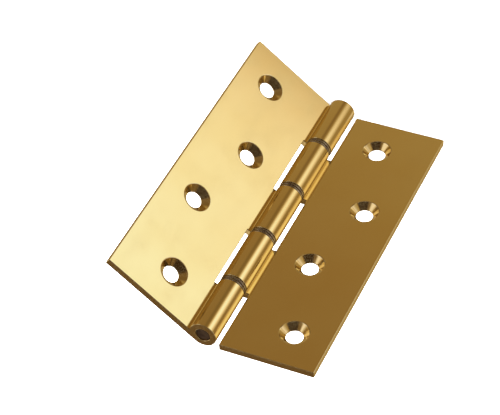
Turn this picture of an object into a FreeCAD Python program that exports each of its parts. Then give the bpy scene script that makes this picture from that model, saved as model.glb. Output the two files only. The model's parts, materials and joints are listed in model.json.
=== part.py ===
import FreeCAD, Part
import math
import os

# A solid drawn brass butt hinge with five knuckles, a steel pin and two steel washers in each joint.
# Millimetres. The pin lies along Z and the origin is on its axis, half way up the hinge.
# The leaf with three knuckles reaches along +X, and its countersunk face looks along -Y.
# The leaf with two knuckles is made as the same kind of plate and then turned about the pin.

# Driving dimensions
HINGE_HEIGHT = 101.6
LEAF_WIDTH = 33.5             # pin axis to free edge, so the open hinge is 67 mm wide
LEAF_THICKNESS = 2.2
KNUCKLE_RADIUS = 4.1
KNUCKLE_COUNT = 5
PIN_RADIUS = 2.25
WASHER_THICKNESS = 0.9
WASHERS_PER_JOINT = 2
WASHER_RADIUS = 4.0
OPENING_ANGLE = 140.0         # angle between the two countersunk faces at rest

# Screw holes
SCREW_RADIUS = 2.5
COUNTERSINK_RADIUS = 4.35     # the cone is 90 degrees from side to side
SCREW_PITCH = 26.0
SCREWS_PER_LEAF = 4
OUTER_HOLE_REACH = 22.6       # pin axis to the row nearer the free edge
INNER_HOLE_REACH = 16.2       # pin axis to the row nearer the knuckles

# Clearances and edge breaks
PIN_CLEARANCE = 0.05          # radial, in the knuckles and washers that turn
KNUCKLE_SWEEP_GAP = 0.65      # a leaf's notch to the other leaf's knuckle
WASHER_FACE_GAP = 0.02
PIN_RECESS = 0.3              # each pin end sits this far inside its knuckle
LEAF_EDGE_BREAK = 0.2
RIM_EDGE_BREAK = 0.12
KNUCKLE_EDGE_BREAK = 0.2
WASHER_EDGE_BREAK = 0.22
PIN_END_CHAMFER = 0.35

# Worked out from the dimensions above
TOP = HINGE_HEIGHT / 2
JOINT_HEIGHT = WASHERS_PER_JOINT * WASHER_THICKNESS + (WASHERS_PER_JOINT + 1) * WASHER_FACE_GAP
KNUCKLE_HEIGHT = (HINGE_HEIGHT - (KNUCKLE_COUNT - 1) * JOINT_HEIGHT) / KNUCKLE_COUNT
KNUCKLE_PITCH = KNUCKLE_HEIGHT + JOINT_HEIGHT
FRONT = KNUCKLE_RADIUS - LEAF_THICKNESS
BACK = KNUCKLE_RADIUS
NOTCH_REACH = KNUCKLE_RADIUS + KNUCKLE_SWEEP_GAP
COUNTERSINK_DEPTH = COUNTERSINK_RADIUS - SCREW_RADIUS
OVERSHOOT = 1.0               # how far a cutting tool runs past the face it cuts

ORIGIN = FreeCAD.Vector(0, 0, 0)
UP = FreeCAD.Vector(0, 0, 1)
INTO_LEAF = FreeCAD.Vector(0, 1, 0)


def knuckle_top(index):
    """Height of the top of a knuckle, counted from 0 at the top of the hinge."""
    return TOP - index * KNUCKLE_PITCH


def edges_where(shape, test):
    """The edges of a shape whose middle point passes the test."""
    found = []
    for edge in shape.Edges:
        middle = edge.valueAt((edge.FirstParameter + edge.LastParameter) / 2)
        if test(edge, middle):
            found.append(edge)
    return found


def leaf_plate(own_knuckles):
    """The flat plate of a leaf, cut back beside the other leaf's knuckles, with its outer edges eased."""
    plate = Part.makeBox(LEAF_WIDTH, LEAF_THICKNESS, HINGE_HEIGHT, FreeCAD.Vector(0, FRONT, -TOP))
    for index in range(KNUCKLE_COUNT):
        if index in own_knuckles:
            continue
        high = knuckle_top(index) + JOINT_HEIGHT
        low = knuckle_top(index) - KNUCKLE_PITCH
        notch = Part.makeBox(
            NOTCH_REACH + OVERSHOOT,
            LEAF_THICKNESS + 2 * OVERSHOOT,
            high - low,
            FreeCAD.Vector(-OVERSHOOT, FRONT - OVERSHOOT, low),
        )
        plate = plate.cut(notch)

    def is_outer(edge, middle):
        at_free_edge = abs(middle.x - LEAF_WIDTH) < 0.001
        at_end = abs(abs(middle.z) - TOP) < 0.001 and middle.x > KNUCKLE_RADIUS
        on_face = min(abs(middle.y - FRONT), abs(middle.y - BACK)) < 0.001
        return on_face and (at_free_edge or at_end)

    return plate.makeFillet(LEAF_EDGE_BREAK, edges_where(plate, is_outer))


def knuckle(index):
    """One knuckle: a drum with softly broken ends, before it is bored for the pin."""
    low = knuckle_top(index) - KNUCKLE_HEIGHT
    drum = Part.makeCylinder(KNUCKLE_RADIUS, KNUCKLE_HEIGHT, FreeCAD.Vector(0, 0, low), UP)
    rims = edges_where(drum, lambda edge, middle: edge.Closed)
    return drum.makeFillet(KNUCKLE_EDGE_BREAK, rims)


def countersunk_hole(reach, height):
    """The tool for one screw hole, as a turned outline: land, cone and a softly broken rim."""
    rim = RIM_EDGE_BREAK
    outline = [
        (0, -OVERSHOOT),
        (COUNTERSINK_RADIUS + rim, -OVERSHOOT),
        (COUNTERSINK_RADIUS + rim, 0),
        (COUNTERSINK_RADIUS - rim, rim),
        (SCREW_RADIUS, COUNTERSINK_DEPTH),
        (SCREW_RADIUS, LEAF_THICKNESS + OVERSHOOT),
        (0, LEAF_THICKNESS + OVERSHOOT),
    ]
    points = [FreeCAD.Vector(reach + across, FRONT + deep, height) for across, deep in outline]
    profile = Part.Face(Part.makePolygon(points + points[:1]))
    return profile.revolve(FreeCAD.Vector(reach, 0, height), INTO_LEAF, 360)


def leaf(own_knuckles, bore_radius):
    """A whole leaf, lying along +X: plate, its own knuckles, the pin bore and the staggered screw holes."""
    body = leaf_plate(own_knuckles)
    for index in own_knuckles:
        body = body.fuse(knuckle(index))
    bore_base = FreeCAD.Vector(0, 0, -TOP - OVERSHOOT)
    body = body.cut(Part.makeCylinder(bore_radius, HINGE_HEIGHT + 2 * OVERSHOOT, bore_base, UP))
    lowest_hole = -(SCREWS_PER_LEAF - 1) * SCREW_PITCH / 2
    for row in range(SCREWS_PER_LEAF):
        reach = OUTER_HOLE_REACH if row % 2 == 0 else INNER_HOLE_REACH
        body = body.cut(countersunk_hole(reach, lowest_hole + row * SCREW_PITCH))
    return body.removeSplitter()


def three_knuckle_leaf():
    """The leaf with the two end knuckles and the middle one. It grips the pin."""
    return leaf([0, 2, 4], PIN_RADIUS)


def two_knuckle_leaf():
    """The leaf with two knuckles. It is the same plate turned over end to end, then swung open."""
    flat = leaf([1, 3], PIN_RADIUS + PIN_CLEARANCE)
    flat.rotate(ORIGIN, INTO_LEAF, 180)
    flat.rotate(ORIGIN, UP, 180 - OPENING_ANGLE)
    return flat


def pin():
    """The steel pin, just short of flush at both ends, with chamfered ends."""
    length = HINGE_HEIGHT - 2 * PIN_RECESS
    rod = Part.makeCylinder(PIN_RADIUS, length, FreeCAD.Vector(0, 0, -length / 2), UP)
    rims = edges_where(rod, lambda edge, middle: edge.Closed)
    return rod.makeChamfer(PIN_END_CHAMFER, rims)


def washer(joint, place):
    """A flat steel ring between two knuckles. Joint 0 is the highest, and place 0 is its upper washer."""
    joint_top = knuckle_top(joint) - KNUCKLE_HEIGHT
    low = joint_top - (place + 1) * (WASHER_FACE_GAP + WASHER_THICKNESS)
    base = FreeCAD.Vector(0, 0, low)
    ring = Part.makeCylinder(WASHER_RADIUS, WASHER_THICKNESS, base, UP)
    rims = edges_where(ring, lambda edge, middle: edge.Closed)
    ring = ring.makeFillet(WASHER_EDGE_BREAK, rims)
    return ring.cut(Part.makeCylinder(PIN_RADIUS + PIN_CLEARANCE, WASHER_THICKNESS, base, UP))


def all_parts():
    """Every separate piece by name."""
    pieces = {
        "three_knuckle_leaf": three_knuckle_leaf(),
        "two_knuckle_leaf": two_knuckle_leaf(),
        "pin": pin(),
    }
    for joint in range(KNUCKLE_COUNT - 1):
        for place, side in enumerate(["upper", "lower"]):
            pieces[f"washer_{joint + 1}_{side}"] = washer(joint, place)
    return pieces


os.makedirs("parts", exist_ok=True)
for name, shape in all_parts().items():
    box = shape.BoundBox
    if not shape.isValid() or len(shape.Solids) != 1:
        raise ValueError(f"{name} is not one valid solid")
    shape.exportStep(f"parts/{name}.step")
    print(f"{name}: {box.XLength:.2f} x {box.YLength:.2f} x {box.ZLength:.2f} mm, {shape.Volume / 1000:.3f} cm3")
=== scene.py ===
# %% [markdown]
# # A polished brass butt hinge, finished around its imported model
#
# The design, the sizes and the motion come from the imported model, which is loaded first and stays as
# it is. The notebook then gives every piece a fine mesh and a finish, and sets the studio and the
# camera. Lengths are in metres. The pin lies along Z, the three-knuckle leaf reaches along +X, and
# its countersunk face looks along -Y.

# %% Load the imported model
import json
import math

import bpy
from mathutils import Matrix, Vector


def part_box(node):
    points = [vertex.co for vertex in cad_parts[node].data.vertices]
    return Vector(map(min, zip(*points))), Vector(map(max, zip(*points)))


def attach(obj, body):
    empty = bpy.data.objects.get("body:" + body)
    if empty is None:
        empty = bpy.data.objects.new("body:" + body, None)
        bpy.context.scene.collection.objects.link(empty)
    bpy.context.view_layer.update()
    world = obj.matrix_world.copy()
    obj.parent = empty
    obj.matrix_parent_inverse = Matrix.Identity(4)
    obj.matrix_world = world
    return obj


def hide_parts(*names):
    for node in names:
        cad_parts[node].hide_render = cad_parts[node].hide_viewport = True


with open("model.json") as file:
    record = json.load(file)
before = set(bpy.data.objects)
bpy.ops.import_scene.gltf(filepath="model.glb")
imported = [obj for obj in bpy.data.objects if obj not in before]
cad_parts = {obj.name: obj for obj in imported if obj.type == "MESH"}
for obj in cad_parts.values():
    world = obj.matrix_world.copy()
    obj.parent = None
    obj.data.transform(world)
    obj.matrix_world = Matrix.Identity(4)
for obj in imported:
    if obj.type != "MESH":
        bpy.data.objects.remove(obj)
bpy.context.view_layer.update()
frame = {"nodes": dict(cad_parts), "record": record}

MM = 0.001
BEYOND = 1 * MM                       # how far a cutting tool goes past the faces that it cuts
scene = bpy.context.scene
print("nodes:", ", ".join(sorted(frame["nodes"])))

# %% [markdown]
# ## Node trees as expressions
#
# A finish or a shape is a small sum: mix this by that, subtract a mask from one. Wires drawn by hand
# hide the sum, so one class wraps a socket and turns ordinary Python operators into Math nodes. Its
# `add` method makes any other node: the type, then the settings, then what goes into its sockets.
# The same class serves the materials, the world and the Geometry Nodes trees.

# %% A socket that can be used in an expression
class Wire:
    """One output socket of a node tree."""

    def __init__(self, tree, socket=None):
        self.tree = tree
        self.socket = socket

    def add(self, kind, settings=None, inputs=None, output=0):
        """Any node, by its type. Gives the wire of one of its outputs."""
        node = self.tree.nodes.new(kind)
        for name, value in (settings or {}).items():
            if name == "stops":
                self.set_stops(node.color_ramp, value)
            else:
                setattr(node, name, value)
        for key, value in (inputs or {}).items():
            for item in value if isinstance(value, list) else [value]:
                self.feed(node.inputs[key], item)
        return Wire(self.tree, node.outputs[output])

    def feed(self, socket, value):
        """Links a wire to an input socket, or sets the socket to a plain value."""
        if isinstance(value, Wire):
            self.tree.links.new(value.socket, socket)
        else:
            socket.default_value = value

    @staticmethod
    def set_stops(ramp, stops):
        """Gives a ramp its places and colours."""
        while len(ramp.elements) < len(stops):
            ramp.elements.new(1.0)
        for element, (place, color) in zip(ramp.elements, stops):
            element.position = place
            element.color = (*color, 1.0)

    def math(self, operation, *values):
        """A Math node on plain numbers and wires."""
        return self.add("ShaderNodeMath", {"operation": operation}, dict(enumerate(values)))

    def __add__(self, other):
        return self.math("ADD", self, other)

    __radd__ = __add__

    def __mul__(self, other):
        return self.math("MULTIPLY", self, other)

    __rmul__ = __mul__

    def __sub__(self, other):
        return self.math("SUBTRACT", self, other)

    def __rsub__(self, other):
        return self.math("SUBTRACT", other, self)

    def __truediv__(self, other):
        return self.math("DIVIDE", self, other)

    def __abs__(self):
        return self.math("ABSOLUTE", self)

    def span(self, low, high, to_low=0.0, to_high=1.0):
        """Eases from to_low to to_high while this value goes from low to high, and stops there."""
        settings = {"interpolation_type": "SMOOTHSTEP"}
        return self.add("ShaderNodeMapRange", settings, {0: self, 1: low, 2: high, 3: to_low, 4: to_high})

    def xyz(self):
        """The three parts of a vector."""
        node = self.add("ShaderNodeSeparateXYZ", inputs={0: self}).socket.node
        return [Wire(self.tree, part) for part in node.outputs]

    def scaled(self, x, y, z):
        """This vector with each axis multiplied, to stretch a pattern."""
        return self.add("ShaderNodeVectorMath", {"operation": "MULTIPLY"}, {0: self, 1: (x, y, z)})

    def noise(self, scale, detail=2.0, roughness=0.5):
        """Cloudy values from 0 to 1 at this place."""
        inputs = {"Vector": self, "Scale": scale, "Detail": detail, "Roughness": roughness}
        return self.add("ShaderNodeTexNoise", inputs=inputs)

    def mixed(self, low, high):
        """A colour between two colours, by this value."""
        return self.add("ShaderNodeMix", {"data_type": "RGBA"}, {0: self, 6: low, 7: high}, output=2)


print("Wire is ready")

# %% [markdown]
# ## Brass, from its metal outwards
#
# Polished brass is a mirror with a yellow tint, so nearly all of its look is what it reflects. What
# the metal adds is small: a slow drift of tone, a faint haze where the polish is thinner, hairline
# scratches from handling, mostly along the leaf, and edges that the polishing mop has rubbed brighter.
# Every pattern reads the leaf's own flat coordinates, kept in an attribute, so it doesn't slide when
# the leaf swings.

# %% Materials share one start and one end
def new_material(name):
    """An empty material, with its Principled shader. Gives both, and a wire to build from."""
    material = bpy.data.materials.new(name)
    material.use_nodes = True
    shader = material.node_tree.nodes["Principled BSDF"]
    return material, shader, Wire(material.node_tree)


def plug(shader, **inputs):
    """Sets or links inputs of a shader; an underscore in a name stands for a space."""
    wire = Wire(shader.id_data)
    for name, value in inputs.items():
        wire.feed(shader.inputs[name.replace("_", " ")], value)


PLACE = "place"                       # the attribute that holds a piece's own coordinates


def scratches(place, turn, length, width, amount):
    """Hairlines in one direction: bright where noise, stretched along a line, comes near its middle."""
    about_front = {"rotation_type": "Y_AXIS"}
    along = place.add("ShaderNodeVectorRotate", about_front, {"Vector": place, "Angle": turn})
    cloud = along.scaled(1 / width, 1 / width, 1 / length).noise(1.0, detail=1.0)
    patches = place.noise(90.0, detail=1.0).span(0.45, 0.62)
    return abs(cloud - 0.5).span(0.0, amount, 1.0, 0.0) * patches


# %% The brass of both leaves
HAIR = 0.05 * MM                      # how wide a scratch is
LONG_SCRATCH = 9 * MM
SHORT_SCRATCH = 6 * MM
RELIEF = 0.02 * MM                    # how deep the finest marks may look
BRASS_PALE = (0.905, 0.745, 0.385, 1.0)
BRASS_DEEP = (0.880, 0.700, 0.335, 1.0)
EDGE_BRIGHT = (0.930, 0.790, 0.450, 1.0)


def brass_material():
    """Polished brass: warm tone, thin haze, hairlines and brighter edges."""
    material, shader, start = new_material("polished_brass_finish")
    place = start.add("ShaderNodeAttribute", {"attribute_name": PLACE}, output="Vector")
    edge = start.add("ShaderNodeAttribute", {"attribute_name": "edge"}, output="Fac")
    drift = place.noise(38.0, detail=3.0).span(0.3, 0.7)
    haze = place.scaled(1.0, 1.0, 0.35).noise(160.0, detail=4.0, roughness=0.6).span(0.35, 0.75)
    lines = scratches(place, 0.12, LONG_SCRATCH, HAIR, 0.035)
    lines = lines + scratches(place, -0.5, SHORT_SCRATCH, HAIR, 0.02)
    grain = place.scaled(1.0, 1.0, 0.04).noise(5200.0, detail=2.0)
    tone = drift.mixed(BRASS_PALE, BRASS_DEEP)
    color = edge.mixed(tone, EDGE_BRIGHT)
    roughness = 0.085 + haze * 0.035 + lines * 0.05 + edge * 0.05
    height = grain * 0.35 + lines * 0.6 + haze * 0.2
    bump = place.add("ShaderNodeBump", inputs={"Strength": 0.05, "Distance": RELIEF, "Height": height})
    plug(shader, Base_Color=color, Metallic=1.0, Roughness=roughness, Normal=bump)
    return material


brass = brass_material()
print("brass:", len(brass.node_tree.nodes), "nodes")

# %% [markdown]
# ## Steel for the pin and the washers
#
# The pin and the washers are turned steel that has darkened. Turning leaves fine rings about the
# axis, so their pattern hardly changes around the piece and changes fast along it. The pin's ends are
# faced, and there the rings run round the middle.

# %% Turned steel
def steel_material(name, light, dark, roughness, ring_scale):
    """Darkened steel with the rings that turning leaves."""
    material, shader, start = new_material(name)
    place = start.add("ShaderNodeTexCoord", output="Object")
    x, y, z = place.xyz()
    radius = place.math("SQRT", x * x + y * y)
    across = place.add("ShaderNodeCombineXYZ", inputs={0: radius, 1: 0.0, 2: z})
    rings = across.noise(ring_scale, detail=3.0, roughness=0.7)
    stain = place.noise(420.0, detail=3.0).span(0.35, 0.7)
    color = stain.mixed(light, dark)
    bump = place.add("ShaderNodeBump", inputs={"Strength": 0.2, "Distance": RELIEF, "Height": rings})
    roughness = roughness + rings * 0.12 + stain * 0.1
    plug(shader, Base_Color=color, Metallic=1.0, Roughness=roughness, Normal=bump)
    return material


BROWN_STEEL = (0.17, 0.12, 0.085, 1.0)
BLACK_STEEL = (0.09, 0.06, 0.04, 1.0)
GREY_STEEL = (0.42, 0.37, 0.30, 1.0)
pin_steel = steel_material("pin_steel_finish", BROWN_STEEL, BLACK_STEEL, 0.26, 2600.0)
washer_steel = steel_material("washer_steel_finish", GREY_STEEL, BROWN_STEEL, 0.15, 5200.0)
print("steels:", pin_steel.name, washer_steel.name)

# %% [markdown]
# ## Sizes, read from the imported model
#
# The finished pieces have to lie exactly where the design's pieces lie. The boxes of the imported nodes
# give most sizes, and the few that a box can't show, such as the pitch of the screw holes, are the
# mounts' own numbers.

# %% Sizes of the hinge
record = frame["record"]
mounts = {mount["name"]: mount for mount in record["mounts"]}
washer_names = sorted(name for name in frame["nodes"] if name.startswith("washer"))

leaf_low, leaf_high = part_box("three_knuckle_leaf")
washer_low, washer_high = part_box(washer_names[0])
pin_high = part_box("pin")[1]

HEIGHT = leaf_high.z - leaf_low.z
WIDTH = leaf_high.x
BACK = leaf_high.y
KNUCKLE_RADIUS = -leaf_low.y
WASHER_RADIUS = washer_high.x
WASHER_THICKNESS = washer_high.z - washer_low.z
PIN_RADIUS = pin_high.x

THICKNESS = 2.2 * MM
KNUCKLES = 5
WASHER_GAP = 0.02 * MM                # between a washer and what it lies against
PIN_PLAY = 0.05 * MM                  # between a washer and the pin
SWEEP_GAP = 0.65 * MM                 # between a knuckle and the gap that it turns in
JOINT = 2 * WASHER_THICKNESS + 3 * WASHER_GAP
KNUCKLE_HEIGHT = (HEIGHT - (KNUCKLES - 1) * JOINT) / KNUCKLES
KNUCKLE_PITCH = KNUCKLE_HEIGHT + JOINT
NOTCH_REACH = KNUCKLE_RADIUS + SWEEP_GAP


def hole(number):
    """One screw hole of the three-knuckle leaf, counted from the top."""
    return mounts[f"three_knuckle_leaf_screw_{number}"]


SCREW_RADIUS = hole(1)["dims"]["r_mm"] * MM
COUNTERSINK_DEPTH = THICKNESS - hole(1)["dims"]["length_mm"] * MM
INNER_REACH = hole(1)["pos_m"][0]
OUTER_REACH = hole(2)["pos_m"][0]
SCREW_PITCH = hole(1)["pos_m"][2] - hole(2)["pos_m"][2]
SCREWS = 4
swing = Vector(mounts["two_knuckle_leaf_back"]["axis"])
SWING_ANGLE = math.atan2(-swing.x, swing.y)      # how far the two-knuckle leaf is turned from flat

print(f"leaf {WIDTH / MM:.1f} x {HEIGHT / MM:.1f} mm, knuckle {KNUCKLE_HEIGHT / MM:.2f} mm, ", end="")
print(f"opening {180 - math.degrees(SWING_ANGLE):.0f} degrees")

# %% [markdown]
# ## A Geometry Nodes tree, from script to plain mesh
#
# Every tree here is made the same way: named inputs, a few nodes, and one output. A modifier runs it
# on an empty mesh, its inputs are set by their sockets' identifiers, and the evaluated result is
# copied out as a plain mesh, so that nothing is left for the export to work out.

# %% Making a tree and running it
def new_tree(name, inputs):
    """A geometry tree with named inputs. Gives the tree and its inputs as wires."""
    tree = bpy.data.node_groups.new(name, "GeometryNodeTree")
    for label, kind in inputs.items():
        tree.interface.new_socket(label, in_out="INPUT", socket_type="NodeSocket" + kind)
    tree.interface.new_socket("Geometry", in_out="OUTPUT", socket_type="NodeSocketGeometry")
    source = tree.nodes.new("NodeGroupInput")
    return tree, {label: Wire(tree, source.outputs[label]) for label in inputs}


def end_tree(shape, material):
    """Makes instances real, smooths and paints the shape, and ends the tree with it."""
    real = shape.add("GeometryNodeRealizeInstances", inputs={0: shape})
    painted = real.add("GeometryNodeSetMaterial", inputs={0: real, "Material": material})
    output = shape.tree.nodes.new("NodeGroupOutput")
    shape.tree.links.new(painted.socket, output.inputs[0])


FLAT = math.radians(0.2)              # faces that meet at less than this become one
ROUND_STEPS = 3


def grown(name, tree, values, bevel=0.0):
    """Runs a tree, rounds its edges, evens its normals and bakes all of it into a plain mesh."""
    piece = bpy.data.objects.new(name, bpy.data.meshes.new(name))
    scene.collection.objects.link(piece)
    shape = piece.modifiers.new("shape", "NODES")
    shape.node_group = tree
    sockets = [item for item in tree.interface.items_tree if item.in_out == "INPUT"]
    for socket in sockets:
        shape[socket.identifier] = values[socket.name]
    if bevel:
        flats = piece.modifiers.new("flats", "DECIMATE")
        flats.decimate_type = "DISSOLVE"
        flats.angle_limit = FLAT
        edges = piece.modifiers.new("edges", "BEVEL")
        edges.width = bevel
        edges.segments = ROUND_STEPS
        edges.limit_method = "WEIGHT"
        edges.use_clamp_overlap = False
        edges.loop_slide = False
    normals = piece.modifiers.new("normals", "WEIGHTED_NORMAL")
    normals.weight = 100
    normals.keep_sharp = True
    evaluated = piece.evaluated_get(bpy.context.evaluated_depsgraph_get())
    mesh = bpy.data.meshes.new_from_object(evaluated)
    piece.modifiers.clear()
    piece.data = mesh
    mesh.name = name
    print(f"{name}: {len(mesh.polygons)} faces")
    return piece


# %% [markdown]
# ## A lathe
#
# The pin is turned, and so is the tool that drills and countersinks a screw hole. Both are an outline
# from one end of the axis to the other, carried round in rings of points. The tool's outline is the
# hole's own, with every rim already rounded, so that a cut with it leaves a finished hole.

# %% Outlines and turned pieces
SHARP = math.radians(40)              # a turned piece shows a line where its outline bends more


def rounded(corners, steps):
    """An outline whose corners, given as (radius, height, reach), are rounded from reach away."""
    outline = []
    for before, here, after in zip(corners, corners[1:], corners[2:]):
        corner = Vector(here[:2])
        one_way = (Vector(before[:2]) - corner).normalized()
        other_way = (Vector(after[:2]) - corner).normalized()
        half = one_way.angle(other_way) / 2
        middle = corner + (one_way + other_way).normalized() * (here[2] / math.cos(half))
        first = corner + one_way * here[2] - middle
        last = corner + other_way * here[2] - middle
        for step in range(steps + 1):
            spoke = first.normalized().slerp(last.normalized(), step / steps)
            outline.append(tuple(middle + spoke * first.length))
    return outline


def turned(name, outline, sides, material):
    """A closed turned piece: its outline's points are (radius, height), and both ends are on the axis."""
    points = [(0.0, 0.0, outline[0][1])]
    for radius, height in outline[1:-1]:
        for side in range(sides):
            angle = 2 * math.pi * side / sides
            points.append((radius * math.cos(angle), radius * math.sin(angle), height))
    points.append((0.0, 0.0, outline[-1][1]))
    rings = len(outline) - 2
    faces = []
    for side in range(sides):
        after = (side + 1) % sides
        faces.append((0, 1 + after, 1 + side))
        for ring in range(rings - 1):
            low, high = 1 + ring * sides, 1 + (ring + 1) * sides
            faces.append((low + side, low + after, high + after, high + side))
        last = 1 + (rings - 1) * sides
        faces.append((last + side, last + after, len(points) - 1))
    mesh = bpy.data.meshes.new(name)
    mesh.from_pydata(points, [], faces)
    mesh.materials.append(material)
    mesh.shade_smooth()
    mesh.set_sharp_from_angle(angle=SHARP)
    piece = bpy.data.objects.new(name, mesh)
    scene.collection.objects.link(piece)
    return piece


print("the lathe is ready")

# %% [markdown]
# ## The leaves
#
# A solid drawn leaf is one bar of brass: a flat plate with a round bead along one side. The bead is
# bored for the pin, gaps are milled where the other leaf's knuckles go, and the screw holes are
# drilled and countersunk. The tree follows the same steps with boolean cuts. What repeats, the
# knuckles, the gaps and the screw holes, is one shape each, placed on a line of points, so both leaves
# come from one tree with different counts.

# %% The tree of a leaf
DRUM_SIDES = 150                      # puts one side's edge where the front face meets the knuckle
HOLE_SIDES = 96
MILL_DEPTH = 20 * MM                  # deeper than any leaf is thick
SAME_POINT = 0.002 * MM
OUTER_EDGE = math.radians(30)         # edges that bend more than this are rounded
INNER_CORNER = math.radians(-20)      # and those that bend inwards more than this stay sharp


def along_pin(wire, count, pitch):
    """Points on the pin's axis, evenly spaced about the middle."""
    start = wire.add("ShaderNodeCombineXYZ", inputs={2: (count - 1) * pitch * -0.5})
    step = wire.add("ShaderNodeCombineXYZ", inputs={2: pitch})
    return wire.add("GeometryNodeMeshLine", inputs={"Count": count, "Start Location": start, "Offset": step})


def moved(shape, x=0.0, y=0.0, z=0.0, turn=(0.0, 0.0, 0.0)):
    """A shape moved and turned."""
    place = shape.add("ShaderNodeCombineXYZ", inputs={0: x, 1: y, 2: z})
    inputs = {"Geometry": shape, "Translation": place, "Rotation": turn}
    return shape.add("GeometryNodeTransform", inputs=inputs)


def copies(shape, points):
    """The shape at every point, as real geometry."""
    placed = shape.add("GeometryNodeInstanceOnPoints", inputs={"Points": points, "Instance": shape})
    return placed.add("GeometryNodeRealizeInstances", inputs={0: placed})


def cut(shape, tool):
    """The shape without what the tool fills."""
    settings = {"operation": "DIFFERENCE", "solver": "EXACT"}
    return shape.add("GeometryNodeMeshBoolean", settings, {"Mesh 1": shape, "Mesh 2": tool})


def joined(*shapes):
    """The shapes as one solid."""
    settings = {"operation": "UNION", "solver": "EXACT"}
    return shapes[0].add("GeometryNodeMeshBoolean", settings, {"Mesh 2": list(shapes)})


LEAF_INPUTS = {
    "Width": "Float", "Height": "Float", "Thickness": "Float", "Back": "Float",
    "Knuckle Radius": "Float", "Knuckle Height": "Float", "Knuckle Pitch": "Float",
    "Own Knuckles": "Int", "Notches": "Int", "Notch Reach": "Float", "Bore Radius": "Float",
    "Screws": "Int", "Screw Pitch": "Float", "Outer Reach": "Float", "Inner Reach": "Float",
    "Drill": "Object", "Material": "Material",
}


def leaf_tree():
    """The tree of one leaf, lying flat: plate, gaps, knuckles, bore and screw holes in turn."""
    tree, size = new_tree("leaf", LEAF_INPUTS)
    start = Wire(tree)
    front = size["Back"] - size["Thickness"]

    plate_inputs = {0: size["Width"], 1: size["Thickness"], 2: size["Height"]}
    plate_size = start.add("ShaderNodeCombineXYZ", inputs=plate_inputs)
    plate = start.add("GeometryNodeMeshCube", inputs={"Size": plate_size})
    plate = moved(plate, x=size["Width"] * 0.5, y=size["Back"] - size["Thickness"] * 0.5)

    gap_height = size["Knuckle Pitch"] * 2 - size["Knuckle Height"]
    gap_inputs = {0: size["Notch Reach"] * 2, 1: MILL_DEPTH, 2: gap_height}
    gap_size = start.add("ShaderNodeCombineXYZ", inputs=gap_inputs)
    gap = start.add("GeometryNodeMeshCube", inputs={"Size": gap_size})
    plate = cut(plate, copies(gap, along_pin(start, size["Notches"], size["Knuckle Pitch"] * 2)))

    drum_inputs = {"Vertices": DRUM_SIDES, "Radius": size["Knuckle Radius"], "Depth": size["Knuckle Height"]}
    drum = moved(start.add("GeometryNodeMeshCylinder", inputs=drum_inputs), turn=(0.0, 0.0, math.pi / 2))
    drums = copies(drum, along_pin(start, size["Own Knuckles"], size["Knuckle Pitch"] * 2))
    body = joined(plate, drums)

    bore_depth = size["Height"] + 2 * BEYOND
    bore_inputs = {"Vertices": HOLE_SIDES, "Radius": size["Bore Radius"], "Depth": bore_depth}
    body = cut(body, start.add("GeometryNodeMeshCylinder", inputs=bore_inputs))

    index = start.add("GeometryNodeInputIndex")
    is_inner = index.math("MODULO", index, 2)
    reach = size["Outer Reach"] + is_inner * (size["Inner Reach"] - size["Outer Reach"])
    aside = start.add("ShaderNodeCombineXYZ", inputs={0: reach, 1: front})
    points = along_pin(start, size["Screws"], size["Screw Pitch"])
    points = points.add("GeometryNodeSetPosition", inputs={"Geometry": points, "Offset": aside})

    drill = start.add("GeometryNodeObjectInfo", inputs={"Object": size["Drill"]}, output="Geometry")
    body = cut(body, copies(moved(drill, turn=(math.pi / 2, 0.0, 0.0)), points))
    body = body.add("GeometryNodeMergeByDistance", inputs={0: body, "Distance": SAME_POINT})

    bend = start.add("GeometryNodeInputMeshEdgeAngle", output="Signed Angle")
    is_outer = bend.math("GREATER_THAN", bend, OUTER_EDGE)
    is_inner_corner = bend.math("LESS_THAN", bend, INNER_CORNER)
    weight = {"Geometry": body, "Name": "bevel_weight_edge", "Value": is_outer}
    body = body.add("GeometryNodeStoreNamedAttribute", {"data_type": "FLOAT", "domain": "EDGE"}, weight)
    body = body.add("GeometryNodeSetShadeSmooth", inputs={0: body})
    crease = {0: body, "Selection": is_inner_corner, "Shade Smooth": False}
    body = body.add("GeometryNodeSetShadeSmooth", {"domain": "EDGE"}, crease)
    end_tree(body, size["Material"])
    return tree


leaves = leaf_tree()
print("leaf tree:", len(leaves.nodes), "nodes")

# %% The tool for the screw holes
RIM_STEPS = 4
FRONT_RIM = 0.20 * MM
THROAT_RIM = 0.10 * MM                # where the cone meets the straight hole
BACK_RIM = 0.15 * MM


def screw_drill():
    """The outline of one hole, from the back face up to the front face at height 0."""
    mouth_radius = SCREW_RADIUS + COUNTERSINK_DEPTH
    corners = [
        (SCREW_RADIUS + BEYOND, -THICKNESS, 0.0),
        (SCREW_RADIUS, -THICKNESS, BACK_RIM),
        (SCREW_RADIUS, -COUNTERSINK_DEPTH, THROAT_RIM),
        (mouth_radius, 0.0, FRONT_RIM),
        (mouth_radius + BEYOND, 0.0, 0.0),
    ]
    outline = rounded(corners, RIM_STEPS)
    for end, next_to_end in ((0, 1), (-1, -2)):
        edge, inside = Vector(outline[end]), Vector(outline[next_to_end])
        outline[end] = tuple(edge + (edge - inside) * 0.5)       # so that it cuts through the face
    outline = [(0.0, -THICKNESS - BEYOND)] + outline + [(0.0, BEYOND)]
    return turned("screw_drill", outline, HOLE_SIDES, brass)


drill = screw_drill()
print("drill:", len(drill.data.polygons), "faces")

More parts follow.
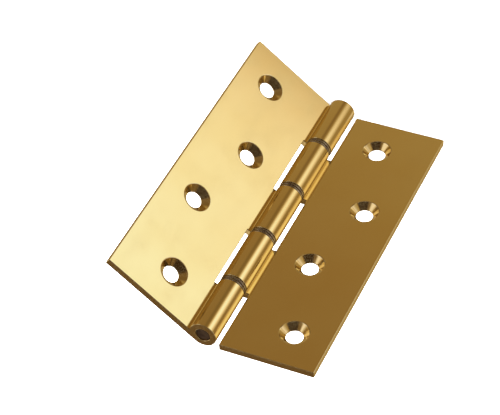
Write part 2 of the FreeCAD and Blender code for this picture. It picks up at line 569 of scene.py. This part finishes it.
# %% Both leaves
LEAF_EDGE = 0.20 * MM
STRIP_SHARE = 0.68                    # a rounded edge's strips are narrower than this share of it
FLAT_COSINE = 0.999                   # and they face less squarely along an axis than this
leaf_sizes = {
    "Width": WIDTH, "Height": HEIGHT, "Thickness": THICKNESS, "Back": BACK,
    "Knuckle Radius": KNUCKLE_RADIUS, "Knuckle Height": KNUCKLE_HEIGHT, "Knuckle Pitch": KNUCKLE_PITCH,
    "Notch Reach": NOTCH_REACH, "Bore Radius": PIN_RADIUS, "Screws": SCREWS, "Screw Pitch": SCREW_PITCH,
    "Outer Reach": OUTER_REACH, "Inner Reach": INNER_REACH, "Drill": drill, "Material": brass,
}


def mark(piece):
    """Keeps each point's own flat coordinates, and marks the narrow strips of the rounded edges."""
    mesh = piece.data
    place = mesh.attributes.new(PLACE, "FLOAT_VECTOR", "POINT")
    edge = mesh.attributes.new("edge", "FLOAT", "FACE")
    for vertex in mesh.vertices:
        place.data[vertex.index].vector = vertex.co
    points = [vertex.co.copy() for vertex in mesh.vertices]
    for face in mesh.polygons:
        corners = [points[index] for index in face.vertices]
        longest = max((a - b).length for a, b in zip(corners, corners[1:] + corners[:1]))
        is_narrow = face.area < longest * LEAF_EDGE * STRIP_SHARE
        is_tilted = max(abs(part) for part in face.normal) < FLAT_COSINE
        edge.data[face.index].value = float(is_narrow and is_tilted)


def leaf(name, own_knuckles, notches, turn):
    """One finished leaf, made flat and then turned to where it lies."""
    values = dict(leaf_sizes, **{"Own Knuckles": own_knuckles, "Notches": notches})
    piece = grown(name + "_finished", leaves, values, bevel=LEAF_EDGE)
    mark(piece)
    piece.data.transform(turn)
    return piece


end_over_end = Matrix.Rotation(math.pi, 4, "Y")
swung_open = Matrix.Rotation(SWING_ANGLE, 4, "Z")
three_knuckle_leaf = leaf("three_knuckle_leaf", 3, 2, Matrix.Identity(4))
two_knuckle_leaf = leaf("two_knuckle_leaf", 2, 3, swung_open @ end_over_end)
for piece, body in ((three_knuckle_leaf, "fixed_leaf"), (two_knuckle_leaf, "swinging_leaf")):
    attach(piece, body)
    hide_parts(piece.name.removesuffix("_finished"))
bpy.data.objects.remove(drill)        # the tool isn't part of the hinge

# %% [markdown]
# ## Washers and pin
#
# Each joint of a washered hinge holds two thin steel rings, which turn on the pin. A ring is a small
# rounded outline carried round a circle, which Curve to Mesh does with closed seams. One tree with the
# ring's height as an input serves all eight. The pin is turned on a lathe, so it is drawn as its
# outline from the middle of one end to the middle of the other, carried round in rings of points.

# %% The tree of a washer
RING_SIDES = 128
WASHER_EDGE = 0.22 * MM
WASHER_INPUTS = {
    "Outer Radius": "Float", "Inner Radius": "Float", "Thickness": "Float", "Edge": "Float",
    "Height": "Float", "Material": "Material",
}


def washer_tree():
    """The tree of one washer: its rounded outline carried round the pin."""
    tree, size = new_tree("washer", WASHER_INPUTS)
    start = Wire(tree)
    middle = (size["Outer Radius"] + size["Inner Radius"]) * 0.5
    width = size["Outer Radius"] - size["Inner Radius"]
    circle_inputs = {"Resolution": RING_SIDES, "Radius": middle}
    circle = start.add("GeometryNodeCurvePrimitiveCircle", inputs=circle_inputs)
    outline_inputs = {"Width": width, "Height": size["Thickness"]}
    outline = start.add("GeometryNodeCurvePrimitiveQuadrilateral", inputs=outline_inputs)
    fillet_inputs = {"Curve": outline, "Radius": size["Edge"], "Count": ROUND_STEPS}
    outline = start.add("GeometryNodeFilletCurve", {"mode": "POLY"}, fillet_inputs)
    ring = start.add("GeometryNodeCurveToMesh", inputs={"Curve": circle, "Profile Curve": outline})
    ring = ring.add("GeometryNodeSetShadeSmooth", inputs={0: ring})
    end_tree(moved(ring, z=size["Height"]), size["Material"])
    return tree


washers = washer_tree()
washer_sizes = {
    "Outer Radius": WASHER_RADIUS, "Inner Radius": PIN_RADIUS + PIN_PLAY, "Thickness": WASHER_THICKNESS,
    "Edge": WASHER_EDGE, "Material": washer_steel,
}
for name in washer_names:
    low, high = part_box(name)
    ring = grown(name + "_ring", washers, dict(washer_sizes, Height=(low.z + high.z) / 2))
    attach(ring, name)
    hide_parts(name)

# %% The pin
CHAMFER = 0.35 * MM
DISH_DEPTH = 0.05 * MM
DISH_FLOOR = 0.6 * MM
DISH_RADIUS = 1.3 * MM
PIN_SIDES = 96
half_pin = [
    (0.0, pin_high.z - DISH_DEPTH),
    (DISH_FLOOR, pin_high.z - DISH_DEPTH),
    (DISH_RADIUS, pin_high.z),
    (PIN_RADIUS - CHAMFER, pin_high.z),
    (PIN_RADIUS, pin_high.z - CHAMFER),
]
pin_outline = [(radius, -height) for radius, height in half_pin] + half_pin[::-1]
pin = turned("pin_turned", pin_outline, PIN_SIDES, pin_steel)
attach(pin, "fixed_leaf")
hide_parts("pin")
print("pin:", len(pin.data.polygons), "faces")

# %% [markdown]
# ## A studio for polished metal
#
# A mirror shows the room, so the room is part of the finish. The set is warm and dark, with soft
# panels in a few directions: two white ones, in front and high on the right, creamier ones low down
# and behind, and dark gaps between them. Every flat face of the hinge picks a small part of that
# room, which is why one leaf is cream and the other brown. The room is a World that works out, for
# each direction, how much panel is there, and turns that level into a colour through a ramp. Only
# reflections see it. The camera and the floor see plain white, so the floor stays pale, and a large
# soft lamp overhead evens it out.

# %% Soft panels by direction
class Sky:
    """The level of light in every direction, from 0 to TOP_LEVEL, built up one soft panel at a time.

    Directions are in degrees: azimuth 0 is along -Y and 90 along +X, and elevation 90 is straight up.
    """

    def __init__(self, direction, level):
        x, y, z = direction.xyz()
        self.azimuth = x.math("ARCTAN2", x, 0.0 - y) * (180 / math.pi)
        self.elevation = z.math("ARCSINE", z) * (180 / math.pi)
        self.level = level
        self.white = 0.0

    def across(self, centre, half_width, softness):
        """1 in the middle of a tall panel and 0 beside it. In degrees, and round the back too."""
        from_centre = self.azimuth - (centre - 540)
        away = abs(from_centre.math("MODULO", from_centre, 360.0) - 180)
        return away.span(half_width - softness, half_width + softness, 1.0, 0.0)

    def between(self, low, high, softness):
        """1 between two elevations and 0 above and below."""
        rises = self.elevation.span(low - softness, low + softness)
        return rises * self.elevation.span(high - softness, high + softness, 1.0, 0.0)

    def add_panel(self, level, share, white=0.0):
        """Brings the light towards a level, where share says how much of the panel is there."""
        self.level = self.level + share * (level - self.level)
        self.white = self.white + share * (white - self.white)


TOP_LEVEL = 1.3
ROOM_COLORS = [
    (0.04, (0.035, 0.016, 0.004)),
    (0.15, (0.15, 0.088, 0.036)),
    (0.24, (0.24, 0.155, 0.058)),
    (0.30, (0.30, 0.190, 0.074)),
    (0.35, (0.35, 0.238, 0.092)),
    (0.45, (0.45, 0.335, 0.17)),
    (0.60, (0.60, 0.475, 0.31)),
    (0.80, (0.79, 0.640, 0.45)),
    (0.95, (0.96, 0.800, 0.61)),
    (1.10, (1.06, 1.000, 0.84)),
    (1.30, (1.09, 1.170, 1.16)),
]
BASE_LEVEL = 0.18
PLAIN_LEVEL = 4.0                     # what everything but a reflection sees
PALE = (1.0, 0.9, 0.86)


def studio(world):
    """Builds the room that the metal reflects, and the plain white that all else sees."""
    world.use_nodes = True
    nodes = world.node_tree.nodes
    nodes.clear()
    start = Wire(world.node_tree)
    direction = start.add("ShaderNodeTexCoord", output="Generated")

    # Low down, where the top-down view finds its reflections: a warm table with a white panel.
    sky = Sky(direction, BASE_LEVEL)
    table = sky.elevation.span(-35, -31, 1.0, 0.0)
    sky.add_panel(0.285, table)
    sky.add_panel(0.375, table * sky.elevation.span(-46, -37, 1.0, 0.0))
    sky.add_panel(0.2, table * sky.across(33, 8, 14))
    far_edge = sky.elevation.span(-46.9, -41.2) * 0.8 + sky.elevation.span(-42, -35) * 0.2
    sky.add_panel(0.65, table * sky.across(-27, 10, 9) * far_edge)
    sky.add_panel(1.32, table * sky.across(-8, 16, 13) * far_edge)
    sky.add_panel(0.8, table * sky.across(-90, 12, 10))
    sky.add_panel(0.42, table * sky.across(-120, 16, 6))
    sky.add_panel(0.1, sky.elevation.span(-68, -60, 1.0, 0.0))

    # Level with the hinge: one bright panel in front, dimmer ones beside it, and brighter ones behind
    # that fade downwards, for the back faces.
    sky.add_panel(0.98, sky.between(-31, -3, 6) * sky.across(-33, 16, 9), white=1.0)
    sky.add_panel(0.5, sky.between(-14, 6, 6) * sky.across(-4, 16, 10))
    sky.add_panel(0.3, sky.between(-27, -8, 6) * sky.across(31, 12, 12))
    sky.add_panel(0.72, sky.between(-31, 24, 6) * sky.across(135, 24, 12))
    sky.add_panel(0.5, sky.between(-31, 24, 6) * sky.across(-150, 16, 12))
    sky.add_panel(1.05, sky.between(-14, 24, 14) * sky.across(138, 16, 18))
    sky.add_panel(0.8, sky.between(-12, 24, 14) * sky.across(-143, 8, 16))

    # Overhead: dark in front, one bright panel on the right with a dark gap above it.
    sky.add_panel(0.02, sky.elevation.span(6, 18) * sky.across(3, 52, 12))
    sky.add_panel(0.95, sky.between(10, 38, 4) * sky.across(88, 17, 7), white=1.0)
    sky.add_panel(0.13, sky.elevation.span(28, 31) * sky.across(-170, 40, 10))
    sky.add_panel(0.03, sky.elevation.span(40, 47) * sky.across(101, 14, 9))

    stops = [(level / TOP_LEVEL, color) for level, color in ROOM_COLORS]
    warm = start.add("ShaderNodeValToRGB", {"stops": stops}, {0: sky.level / TOP_LEVEL})
    scale = {0: PALE, "Scale": sky.level}
    pale = start.add("ShaderNodeVectorMath", {"operation": "SCALE"}, scale)
    room = sky.white.mixed(warm, pale)
    seen = start.add("ShaderNodeBackground", inputs={"Color": room, "Strength": 1.0})
    plain = start.add("ShaderNodeBackground", inputs={"Color": (1.0, 1.0, 1.0, 1.0), "Strength": PLAIN_LEVEL})
    is_reflection = start.add("ShaderNodeLightPath", output="Is Glossy Ray")
    both = start.add("ShaderNodeMixShader", inputs={0: is_reflection, 1: plain, 2: seen})
    output = nodes.new("ShaderNodeOutputWorld")
    world.node_tree.links.new(both.socket, output.inputs["Surface"])


scene.world = scene.world or bpy.data.worlds.new("studio")
studio(scene.world)
print("studio:", len(scene.world.node_tree.nodes), "nodes")

# %% Floor and lamp
FLOOR_REACH = 3.0
floor_mesh = bpy.data.meshes.new("floor")
corners = [(-1, -1), (1, -1), (1, 1), (-1, 1)]
floor_points = [(x * FLOOR_REACH, y * FLOOR_REACH, leaf_low.z) for x, y in corners]
floor_mesh.from_pydata(floor_points, [], [(0, 1, 2, 3)])
floor = bpy.data.objects.new("floor", floor_mesh)
scene.collection.objects.link(floor)

floor_paint, floor_shader, start = new_material("floor_paint")
FLOOR_DARK = (0.88, 0.88, 0.88, 1.0)
FLOOR_LIGHT = (0.92, 0.92, 0.92, 1.0)
speckle = start.add("ShaderNodeTexCoord", output="Object").noise(60.0, detail=3.0)
plug(floor_shader, Base_Color=speckle.mixed(FLOOR_DARK, FLOOR_LIGHT), Roughness=0.8)
floor_mesh.materials.append(floor_paint)
floor.visible_glossy = False

LAMP_SIZE = 1.2
LAMP_POWER = 8.0
LAMP_HEIGHT = 1.0
lamp_data = bpy.data.lights.new("overhead_softbox", "AREA")
lamp_data.size = LAMP_SIZE
lamp_data.energy = LAMP_POWER
lamp = bpy.data.objects.new("overhead_softbox", lamp_data)
lamp.location = (0.0, 0.0, LAMP_HEIGHT)
lamp.visible_glossy = False
scene.collection.objects.link(lamp)
scene.view_settings.view_transform = "Standard"
print("floor at", round(leaf_low.z / MM, 1), "mm")

# %% [markdown]
# ## The camera
#
# The hinge is seen from above its top end, through a long lens. The camera's place is given by the
# direction it stands in, how high, how far, and how far it is rolled.

# %% Camera
AZIMUTH, ELEVATION, ROLL = (math.radians(angle) for angle in (14.13, 39.88, 212.5))
DISTANCE = 576.2 * MM
LENS = 142.04
SENSOR_WIDTH = 36.0
TARGET = Vector((8.19, 0.0, 4.24)) * MM

back = Vector((
    math.sin(AZIMUTH) * math.cos(ELEVATION),
    -math.cos(AZIMUTH) * math.cos(ELEVATION),
    math.sin(ELEVATION),
))
level_right = (-back).cross(Vector((0, 0, 1))).normalized()
level_up = level_right.cross(-back)
right = level_right * math.cos(ROLL) + level_up * math.sin(ROLL)
up = level_up * math.cos(ROLL) - level_right * math.sin(ROLL)

camera_data = bpy.data.cameras.new("camera")
camera_data.sensor_width = SENSOR_WIDTH
camera_data.sensor_fit = "HORIZONTAL"
camera_data.lens = LENS
camera_data.clip_start = 0.01
camera_data.clip_end = 20.0
camera = bpy.data.objects.new("camera", camera_data)
turn = Matrix((right, up, back)).transposed().to_4x4()
camera.matrix_world = Matrix.Translation(TARGET + back * DISTANCE) @ turn
scene.collection.objects.link(camera)
scene.camera = camera
print("camera at", [round(value, 3) for value in camera.matrix_world.translation])
